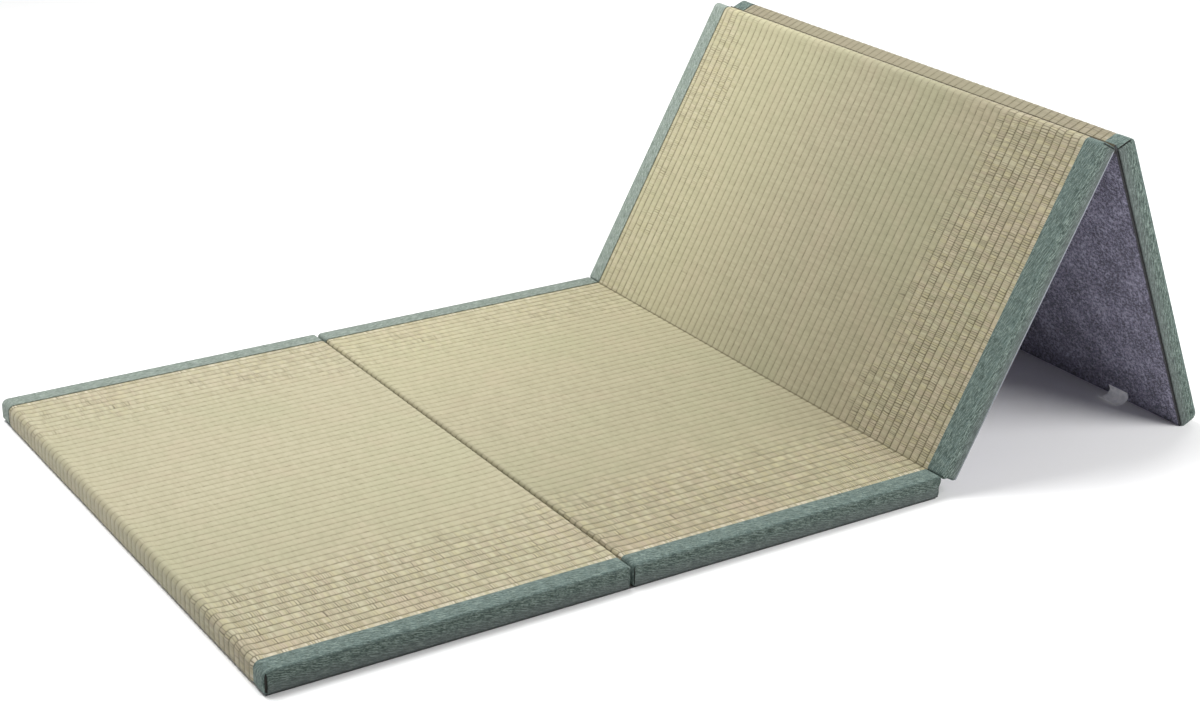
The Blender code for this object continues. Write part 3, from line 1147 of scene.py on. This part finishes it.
    def build_joined(self, finish: bpy.types.Material) -> None:
        """Builds panels 2 and 3, whose rush crosses the crease between the bindings."""
        sizes = self.sizes
        flat, tent = sizes.frames()[2], sizes.frames()[3]
        end, cut = sizes.panel_length, self.border_cut
        top = sizes.thickness - sizes.skin
        (low, _), (_, far) = self.wrapped(2), self.wrapped(3)
        to_cut = self.face(low[-1][0], end - cut, self.joined_step)
        near_crease = np.array([(cut, top), (self.crease_ease, top)])
        from_cut = self.face(cut, far[0][0], self.joined_step)
        outer = np.concatenate(
            [
                flat.place(np.concatenate([low, to_cut, sizes.from_far_end(near_crease[::-1])])),
                self.crease(sizes.skin),
                tent.place(np.concatenate([near_crease[::-1], from_cut, far])),
            ]
        )
        cut_at = len(low) + len(to_cut)
        past_cut = cut_at + 2 * len(near_crease)
        ends = self.end_shares(len(low), len(outer) - len(low) - len(far), len(far))
        hinged = self.hinged()
        tent_seam, flat_seam = [(far[-1][0], sizes.seam)], [(low[0][0], sizes.seam)]
        under = np.concatenate(
            [
                tent.place(np.concatenate([tent_seam, hinged])),
                self.crease(sizes.skin + sizes.web),
                flat.place(np.concatenate([sizes.from_far_end(hinged), flat_seam])),
            ]
        )
        name = "rush_panels_2_3"
        tube = self.tube(name, outer, under, ends, 20)
        self.free_borders(tube, outer[[cut_at, past_cut]], under)
        self.place(name, self.close(tube, name), finish)

    def free_borders(self, tube: bmesh.types.BMesh, outer: np.ndarray, under: np.ndarray) -> None:
        """Parts the two panels at the borders, where each binding turns into the crease.

        Args:
            tube: The joined panels, changed in place.
            outer: The two (x, z) points of the cuts in the rush face.
            under: The hidden points of the section, with the cuts' other ends in them.
        """
        ends = (under[-2], under[1])
        inside = [face for face in tube.faces if self.in_cut(face, outer, ends)]
        bmesh.ops.delete(tube, geom=inside, context="FACES")
        for side in Side:
            for top, bottom in zip(outer, ends):
                rows = self.open_row(tube, side, *top) + self.open_row(tube, side, *bottom)
                bmesh.ops.bridge_loops(tube, edges=rows)

    def in_cut(self, face: bmesh.types.BMFace, outer: np.ndarray, ends: tuple) -> bool:
        """Whether a face lies at a border and between the two cuts."""
        centre = face.calc_center_median()
        low = min(outer[0][0], ends[0][0], ends[1][0])
        high = max(outer[1][0], ends[0][0], ends[1][0])
        if abs(centre.y) <= self.sizes.inner_edge or not low < centre.x < high:
            return False
        for (x, z), (end_x, end_z), sign in zip(outer, ends, (1, -1)):
            aside = (end_x - x) * (centre.z - z) - (end_z - z) * (centre.x - x)
            if sign * aside < -SAME_PLACE:
                return False
        return True

    def open_row(self, tube: bmesh.types.BMesh, side: Side, x: float, z: float) -> list:
        """Open edges that run across a border along one line of the section."""
        inner = self.sizes.inner_edge - self.slack
        row = []
        for edge in (edge for edge in tube.edges if edge.is_boundary):
            ends = [vert.co for vert in edge.verts]
            near = all(math.hypot(end.x - x, end.z - z) < self.row_reach for end in ends)
            at_border = all(end.y * side.value > inner for end in ends)
            if near and at_border and abs(ends[0].y - ends[1].y) > self.slack:
                row.append(edge)
        return row

    def build(self, finishes: dict[int, bpy.types.Material]) -> None:
        """Builds the three facings, each in the finish of its first panel."""
        self.build_single(1, finishes[1])
        self.build_joined(finishes[2])
        self.build_single(4, finishes[4])


# Bindings


@dataclass
class Binding:
    """One strip of cloth over a panel's long edge, its ends folded down round both corners."""

    sizes: MatSizes
    number: int
    side: Side
    finish: bpy.types.Material
    step: float = 0.006
    end_step: float = 0.0025
    strip_steps: int = 6
    round_steps: int = 4
    side_steps: int = 7
    slit_bow: float = 0.0011
    slit_reach: float = 0.02
    open_slit: float = 0.001
    ripple: float = 0.00035
    face_period: float = 0.035
    hem_period: float = 0.02
    side_period: float = 0.05
    lip: float = 0.0003
    fullness: float = 0.0002
    pattern_shift: tuple[float, float] = (0.7, 3.1)

    @property
    def name(self) -> str:
        """Name of the solid that the strip replaces."""
        return f"binding_{self.number}_{self.side.name.lower()}"

    @property
    def seed(self) -> int:
        """Number of the strip's first random line."""
        return 100 * self.number + 7 * self.side.value

    def slits(self) -> tuple[float, float]:
        """How far the side's cloth stops from the panel's two ends."""
        starts = {
            1: (0.0024, 0.00015),
            2: (0.00015, 0.0005),
            3: (0.0005, 0.0009),
            4: (0.0009, 0.0005),
        }
        return starts[self.number]

    def end(self, radius: float, seam_radius: float, at_crease: bool) -> np.ndarray:
        """The strip's points round a panel's low end, swollen if that end is at the crease."""
        points = self.sizes.wrapped_end(0, radius, seam_radius, self.end_step)
        if at_crease:
            points[:, 0] -= self.sizes.swollen(self.sizes.thickness - points[:, 1])
        return points

    def outline(self) -> np.ndarray:
        """The strip's (s, h) points from its low foot over the face to its far foot."""
        sizes = self.sizes
        low_radii, far_radii = sizes.end_radii(self.number)
        low = self.end(*low_radii, self.number == 3)
        far = sizes.from_far_end(self.end(*far_radii, self.number == 2))
        starts, stops = (low[-1][0], sizes.thickness), (far[0][0], sizes.thickness)
        return np.concatenate([low, straight(starts, stops, self.step), far])

    def foot_height(self, s: np.ndarray) -> np.ndarray:
        """Height of the cloth's lower edge along the side, round at both ends."""
        sizes = self.sizes
        from_ends = (s, sizes.panel_length - s)
        foot = np.full(s.shape, sizes.seam)
        for from_end, (_, radius) in zip(from_ends, sizes.end_radii(self.number)):
            short = np.clip(radius - from_end, 0, radius)
            foot += radius - np.sqrt(radius**2 - short**2)
        return foot

    def band(self, path: SectionPath) -> tuple[np.ndarray, np.ndarray]:
        """The cloth on the panel's face and round its long edge.

        Args:
            path: The strip's outline.

        Returns:
            How far each point lies from the strip's inner edge, and its height over the outline.
        """
        edge = self.sizes.edge_radius
        reach = self.sizes.border - edge
        waves = self.ripple * wander(path.run, self.face_period, self.seed)
        hem = 0.5 * self.ripple * wander(path.run, self.hem_period, self.seed + 1)
        shares = np.linspace(0, 1, self.strip_steps + 1)
        inward = hem[:, None] * (1 - shares) + reach * shares
        puff = waves[:, None] * np.sin(np.pi * shares) - self.lip * (1 - shares) ** 4
        angles = np.radians(90) * np.arange(1, self.round_steps + 1) / self.round_steps
        turned = np.broadcast_to(reach + edge * np.sin(angles), (len(path.run), len(angles)))
        sunk = np.broadcast_to(-edge * (1 - np.cos(angles)), turned.shape)
        return np.concatenate([inward, turned], axis=1), np.concatenate([puff, sunk], axis=1)

    def nearness(self, gaps: np.ndarray) -> np.ndarray:
        """1 where a gap is nothing, easing to 0 within the reach of a slit."""
        return np.clip(1 - np.abs(gaps) / self.slit_reach, 0, 1) ** 2

    def fall(self, rim: np.ndarray, run: np.ndarray) -> tuple[np.ndarray, np.ndarray]:
        """The cloth down the panel's side.

        Args:
            rim: The (s, h) points that it falls from.
            run: How far each lies along the strip.

        Returns:
            Its (s, h) points and their y, in rows along the strip.
        """
        sizes = self.sizes
        low_slit, far_slit = self.slits()
        drops = np.arange(1, self.side_steps + 1) / self.side_steps
        s, h = rim[:, 0], rim[:, 1]
        heights = h[:, None] + (self.foot_height(s) - h)[:, None] * drops
        near_low = self.nearness(s - low_slit) * (low_slit > self.open_slit)
        near_far = self.nearness(sizes.panel_length - far_slit - s) * (far_slit > self.open_slit)
        bow = self.slit_bow * np.sin(np.pi * drops) ** 0.7
        places = s[:, None] + (near_low - near_far)[:, None] * bow
        if self.number in (2, 3):
            into, gaps = (1, sizes.panel_length - s) if self.number == 2 else (-1, s)
            swell = sizes.swollen(sizes.thickness - heights)
            places = places + into * self.nearness(gaps)[:, None] * swell
        round_side = np.sin(np.pi * drops)
        sway = wander(run, self.side_period, self.seed + 2)[:, None]
        bulge = 0.8 * self.ripple * sway * round_side
        y = sizes.half_width + bulge + self.fullness * round_side
        return np.stack([places, heights], axis=2), y

    def surface(self) -> tuple[np.ndarray, np.ndarray, np.ndarray]:
        """Works out the cloth's outside.

        Returns:
            The points and their flat places, in rows along the strip, and which rows have a side.
        """
        sizes = self.sizes
        local = self.outline()
        path = SectionPath.through(local)
        inward, height = self.band(path)
        band = path.points[:, None] + path.outward[:, None] * height[..., None]
        fall, fall_y = self.fall(band[:, -1], path.run)

        section = np.concatenate([band, fall], axis=1)
        y = np.concatenate([sizes.inner_edge + inward, fall_y], axis=1)
        world = sizes.frames()[self.number].place(section.reshape(-1, 2)).reshape(section.shape)
        points = across(world, self.side.value * y)
        gaps = np.linalg.norm(np.diff(points, axis=1), axis=2)
        over = np.concatenate([np.zeros((len(local), 1)), np.cumsum(gaps, axis=1)], axis=1)
        flat = np.stack([np.broadcast_to(path.run[:, None], over.shape), over], axis=2)

        s, h = local.T
        low_slit, far_slit = self.slits()
        has_side = (h > sizes.thickness / 2) & (s > low_slit) & (s < sizes.panel_length - far_slit)
        return points, flat, has_side

    def build(self) -> None:
        """Builds the strip and parts its side from the flaps round both ends."""
        points, flat, has_side = self.surface()
        points[..., 2] = np.maximum(points[..., 2], 0)
        columns = points.shape[1]
        by_number, by_side = self.pattern_shift
        shift = np.array([self.number * by_number + self.side.value * by_side, 0])
        mesh = lay_grid(self.name, points, flat + shift)
        turned = self.strip_steps + self.round_steps // 2

        def beyond(face: bmesh.types.BMFace) -> bool:
            """Whether a face lies on the side where the cloth has none."""
            on_side = all(vert.index % columns >= turned for vert in face.verts)
            return on_side and not all(has_side[vert.index // columns] for vert in face.verts)

        cut_out(mesh, beyond)
        sizes = self.sizes
        slope = sizes.frames()[self.number].slope
        outside = Vector((-math.sin(slope), self.side.value, math.cos(slope)))
        thicken(mesh, sizes.binding, outside)
        made = Piece(f"{self.name}_cloth", Slot.BINDING, (self.name,), mesh, self.finish).place()

    def carriers(self) -> list[str]:
        """The rush facing that the strip is folded over."""
        rush = {1: "rush_panel_1", 2: "rush_panels_2_3", 3: "rush_panels_2_3", 4: "rush_panel_4"}
        return [f"{rush[self.number]}_woven"]


# Felt backs


@dataclass
class FeltBack:
    """The two felt backs, each turned up at the end that meets the crease."""

    sizes: MatSizes
    finish: bpy.types.Material
    step: float = 0.012
    turned_step: float = 0.006
    dimple: float = 0.00025
    recess: float = 0.0020
    short: float = 0.001
    beside_binding: float = 0.0005
    notch: float = 0.0006
    middle_lines: int = 75
    border_lines: int = 4
    lump: float = 0.03
    seed: int = 301

    @property
    def end(self) -> float:
        """How far from a panel's end the felt stops under the seam."""
        return self.sizes.seam_radius - self.short

    def turned(self) -> np.ndarray:
        """The felt's outside at a panel's low end, from the turned part's top down."""
        sizes = self.sizes
        radius = sizes.felt_turn
        top, foot = (sizes.clear, sizes.felt_top), (sizes.clear, radius)
        round_foot = arc((sizes.clear + radius, radius), radius, 180, 270, 5)
        return np.concatenate([[top], straight(top, foot, self.turned_step), round_foot])

    def across_stations(self) -> np.ndarray:
        """Places across the mat, with a line where the turned part ends beside each binding."""
        sizes = self.sizes
        inner = sizes.inner_edge - self.beside_binding
        middle = np.linspace(-inner, inner, self.middle_lines)
        outer = np.linspace(inner, sizes.half_width - self.recess, self.border_lines)[1:]
        return np.concatenate([-outer[::-1], middle, outer])

    def sheet(self, name: str, section: np.ndarray, turned: int) -> None:
        """Builds one back.

        Args:
            name: Name of the solid that it replaces.
            section: Its outside, as (x, z) points.
            turned: How many of them, from the first, belong to the turned part.
        """
        sizes = self.sizes
        path = SectionPath.through(section)
        y = self.across_stations()
        rows = path.raised(np.zeros((len(y), len(path.run))))
        if self.is_tent(name):
            lumps = wander(path.run, self.lump, self.seed)[None, :]
            lumps = lumps * wander(y, self.lump, self.seed + 1)[:, None]
            fading = np.sin(np.linspace(0, np.pi, len(path.run)))[None, :]
            rows = path.raised(self.dimple * lumps * fading)
        mesh = lay_across(name, rows, path.run, y)
        columns, inner = len(path.run), sizes.inner_edge - self.notch

        def notched(face: bmesh.types.BMFace) -> bool:
            """Whether a face is of the turned part, beside a binding."""
            aside = abs(face.calc_center_median().y) > inner
            return aside and all(vert.index % columns < turned for vert in face.verts)

        cut_out(mesh, notched)
        thicken(mesh, sizes.felt, Vector((0, 0, -1)))
        made = Piece(f"{name}_sheet", Slot.FELT, (name,), mesh, self.finish).place()

    def is_tent(self, name: str) -> bool:
        """Whether a back is the one of the two standing panels."""
        return name.endswith("3_4")

    def carriers(self, name: str) -> list[str]:
        """The rush facings that a back is sewn under."""
        other = "rush_panel_4_woven" if self.is_tent(name) else "rush_panel_1_woven"
        return ["rush_panels_2_3_woven", other]

    def build(self) -> None:
        """Builds both backs."""
        sizes = self.sizes
        frames = sizes.frames()
        turned = self.turned()
        start = frames[2].place(sizes.from_far_end(turned)[::-1])
        end = frames[1].place(np.array([(self.end, 0)]))
        middle = straight(tuple(start[-1]), tuple(end[0]), self.step)
        self.sheet("felt_back_1_2", np.concatenate([start, middle, end]), len(turned))

        low = frames[3].place(turned)
        apex = frames[4].place(np.array([(0, 0)]))
        foot = frames[4].place(np.array([(sizes.panel_length - self.end, 0)]))
        rise = straight(tuple(low[-1]), tuple(apex[0]), self.step)
        fall = straight(tuple(apex[0]), tuple(foot[0]), self.step)
        tent = np.concatenate([low, rise, apex, fall, foot])
        self.sheet("felt_back_3_4", tent, len(turned))


# Label


@dataclass
class Label:
    """Blank ribbon sewn to the felt of panel 4, curling down to the floor."""

    sizes: MatSizes
    finish: bpy.types.Material
    y: float = -0.338
    width: float = 0.040
    thickness: float = 0.0010
    root: float = 0.0145
    sewn: float = 0.008
    cup: float = 0.0009
    columns: int = 17
    curl: tuple[tuple[float, float], ...] = (
        # length, heading in degrees
        (0.0030, -92),
        (0.0040, -126),
        (0.0050, -155),
        (0.0080, -172),
        (0.0080, -190),
        (0.0050, -212),
    )

    def path(self) -> np.ndarray:
        """The label's middle line, from its sewn end to its free edge."""
        sizes = self.sizes
        off_felt = -sizes.clear - self.thickness / 2
        root = sizes.panel_length - self.root
        sewn = sizes.frames()[4].place(np.array([(root - self.sewn, off_felt), (root, off_felt)]))
        points = [tuple(point) for point in sewn]
        for length, heading in self.curl:
            x, z = points[-1]
            turn = math.radians(heading)
            points.append((x + length * math.cos(turn), z + length * math.sin(turn)))
        return np.array(points)

    def smooth(self, points: np.ndarray, parts: int) -> np.ndarray:
        """Rounds a line by cutting each corner, keeping its two ends."""
        for _ in range(parts):
            first = 0.75 * points[:-1] + 0.25 * points[1:]
            second = 0.25 * points[:-1] + 0.75 * points[1:]
            cut = np.stack([first, second], axis=1).reshape(-1, 2)
            points = np.concatenate([points[:1], cut, points[-1:]])
        return points

    def build(self) -> None:
        """Builds the label."""
        path = SectionPath.through(self.smooth(self.path(), 2))
        shares = np.linspace(-0.5, 0.5, self.columns)
        y = self.y + self.width * shares
        free = np.clip((path.run - self.sewn) / (path.run[-1] - self.sewn), 0, 1)
        cup = self.cup * free[None, :] ** 2 * (np.cos(3 * np.pi * shares)[:, None])
        outline = path.raised(np.maximum(cup, 0) + self.thickness / 4)
        mesh = lay_across("label", outline, path.run, y)
        thicken(mesh, self.thickness / 2, Vector((0, 0, 1)))
        made = Piece("label_ribbon", Slot.LABEL, ("label",), mesh, self.finish).place()


# Studio


@dataclass(frozen=True)
class Lamp:
    """A round soft lamp, with its power in watts."""

    name: str
    power: float
    width: float
    place: tuple[float, float, float]
    target: tuple[float, float, float]

    def hang(self) -> None:
        """Hangs the lamp and turns it towards its target."""
        data = bpy.data.lights.new(self.name, "AREA")
        data.shape = "DISK"
        data.size = self.width
        data.energy = self.power
        lamp = put(self.name, data)
        lamp.location = self.place
        aim = Vector(self.target) - lamp.location
        lamp.rotation_euler = aim.to_track_quat("-Z", "Y").to_euler()


MAT_MIDDLE = (0.2, 0.0, 0.1)
FLOOR_BEHIND = (3.3, 1.6, 0.0)
LAMPS = (
    Lamp("key_lamp", 178.0, 2.6, (-0.9, 1.1, 3.4), MAT_MIDDLE),
    Lamp("side_lamp", 66.0, 2.0, (1.55, -2.1, 1.75), MAT_MIDDLE),
    Lamp("wash_lamp", 60.0, 1.8, (3.5, 1.6, 2.6), FLOOR_BEHIND),
)


@dataclass(frozen=True)
class Studio:
    """Pale floor, soft light and the camera."""

    lens: float = 67.284
    place: tuple[float, float, float] = (-1.72058, -2.62178, 1.41449)
    turn: tuple[float, float, float] = (67.52903, -0.99869, -32.69002)
    sensor: float = 36
    sight: float = 60
    floor_reach: float = 14
    floor_tone: float = 0.94
    floor_roughness: float = 0.9
    floor_gloss: float = 0.1
    sky: float = 0.20

    def build_floor(self) -> None:
        """Lays a wide plain floor."""
        mesh = bpy.data.meshes.new("floor")
        with opened(mesh) as grid:
            bmesh.ops.create_grid(grid, x_segments=1, y_segments=1, size=self.floor_reach)
        finish = bpy.data.materials.new("floor_paint")
        finish.use_nodes = True
        shader = finish.node_tree.nodes["Principled BSDF"]
        shader.inputs["Base Color"].default_value = (*[self.floor_tone] * 3, 1)
        shader.inputs["Roughness"].default_value = self.floor_roughness
        shader.inputs["Specular IOR Level"].default_value = self.floor_gloss
        mesh.materials.append(finish)
        floor = put("floor", mesh)

    def build_light(self) -> None:
        """Sets an even sky, a wide soft lamp above, one aside and one for the floor behind."""
        world = bpy.data.worlds.new("studio")
        world.use_nodes = True
        sky = world.node_tree.nodes["Background"]
        sky.inputs["Color"].default_value = (1.0, 1.0, 1.0, 1)
        sky.inputs["Strength"].default_value = self.sky
        bpy.context.scene.world = world
        for lamp in LAMPS:
            lamp.hang()

    def build_camera(self) -> None:
        """Stands the camera where the photograph was taken from."""
        data = bpy.data.cameras.new("camera")
        data.lens = self.lens
        data.sensor_width = self.sensor
        data.sensor_fit = "HORIZONTAL"
        data.clip_end = self.sight
        camera = put("camera", data)
        camera.location = self.place
        camera.rotation_euler = [math.radians(angle) for angle in self.turn]
        bpy.context.scene.camera = camera

    def build(self) -> None:
        """Builds the whole studio."""
        self.build_floor()
        self.build_light()
        self.build_camera()
        bpy.context.scene.view_settings.view_transform = "Standard"


def rush_cloths(crease: float) -> dict[int, bpy.types.Material]:
    """Makes the rush of each facing, by its first panel.

    Args:
        crease: How far along the joined rush its crease lies.

    Returns:
        The materials, that of panels 2 and 3 with more painted shade and that of panel 4 with more
        painted shade on its wrapped end.
    """
    finishes = {
        1: RushFinish(),
        2: RushFinish(tent_shade=0.11, crease=crease),
        4: RushFinish(end_shade=0.58),
    }
    return {number: finish.build() for number, finish in finishes.items()}


def binding_cloths() -> dict[Side, dict[int, bpy.types.Material]]:
    """Makes the cloth of each binding, by its side and panel, in lit and shaded copies: paler as
    painted light on the far side, with painted shade down the sides of panels 1 and 2.
    """
    dim_rim, lit_rim = tint(54, 58, 58), tint(160, 162, 172)
    dim, lit = BindingFinish(rim=dim_rim).build(), BindingFinish(rim=lit_rim).build()
    low = BindingFinish(rim=dim_rim, shaded=0.34).build()
    # Painted light: paler copies for the far side.
    far_lit = BindingFinish(
        rim=dim_rim,
        ground=tint(107, 120, 109),
        deep=tint(77, 88, 79),
        light=tint(158, 169, 158),
        pale_and_lit=tint(135, 142, 139),
        shaded=0.34,
    ).build()
    far_lit_tent = BindingFinish(
        rim=lit_rim,
        ground=tint(122, 136, 124),
        deep=tint(88, 101, 91),
        light=tint(170, 181, 171),
        pale_and_lit=tint(150, 158, 155),
        side_shade=tint(132, 134, 142),
    ).build()
    return {
        Side.NEAR: {1: low, 2: low, 3: lit, 4: dim},
        Side.FAR: {1: far_lit, 2: far_lit, 3: far_lit_tent, 4: dim},
    }


def main() -> None:
    """Builds every piece of the mat and its studio."""
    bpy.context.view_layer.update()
    sizes = MatSizes()
    Studio().build()
    facing = RushFacing(sizes)
    facing.build(rush_cloths(facing.crease_run()))
    cloths = binding_cloths()
    for number in sizes.frames():
        for side in Side:
            Binding(sizes, number, side, cloths[side][number]).build()
    FeltBack(sizes, FeltFinish(sizes.felt_hinge).build()).build()
    Label(sizes, LabelFinish().build()).build()


if __name__ == "__main__":
    main()
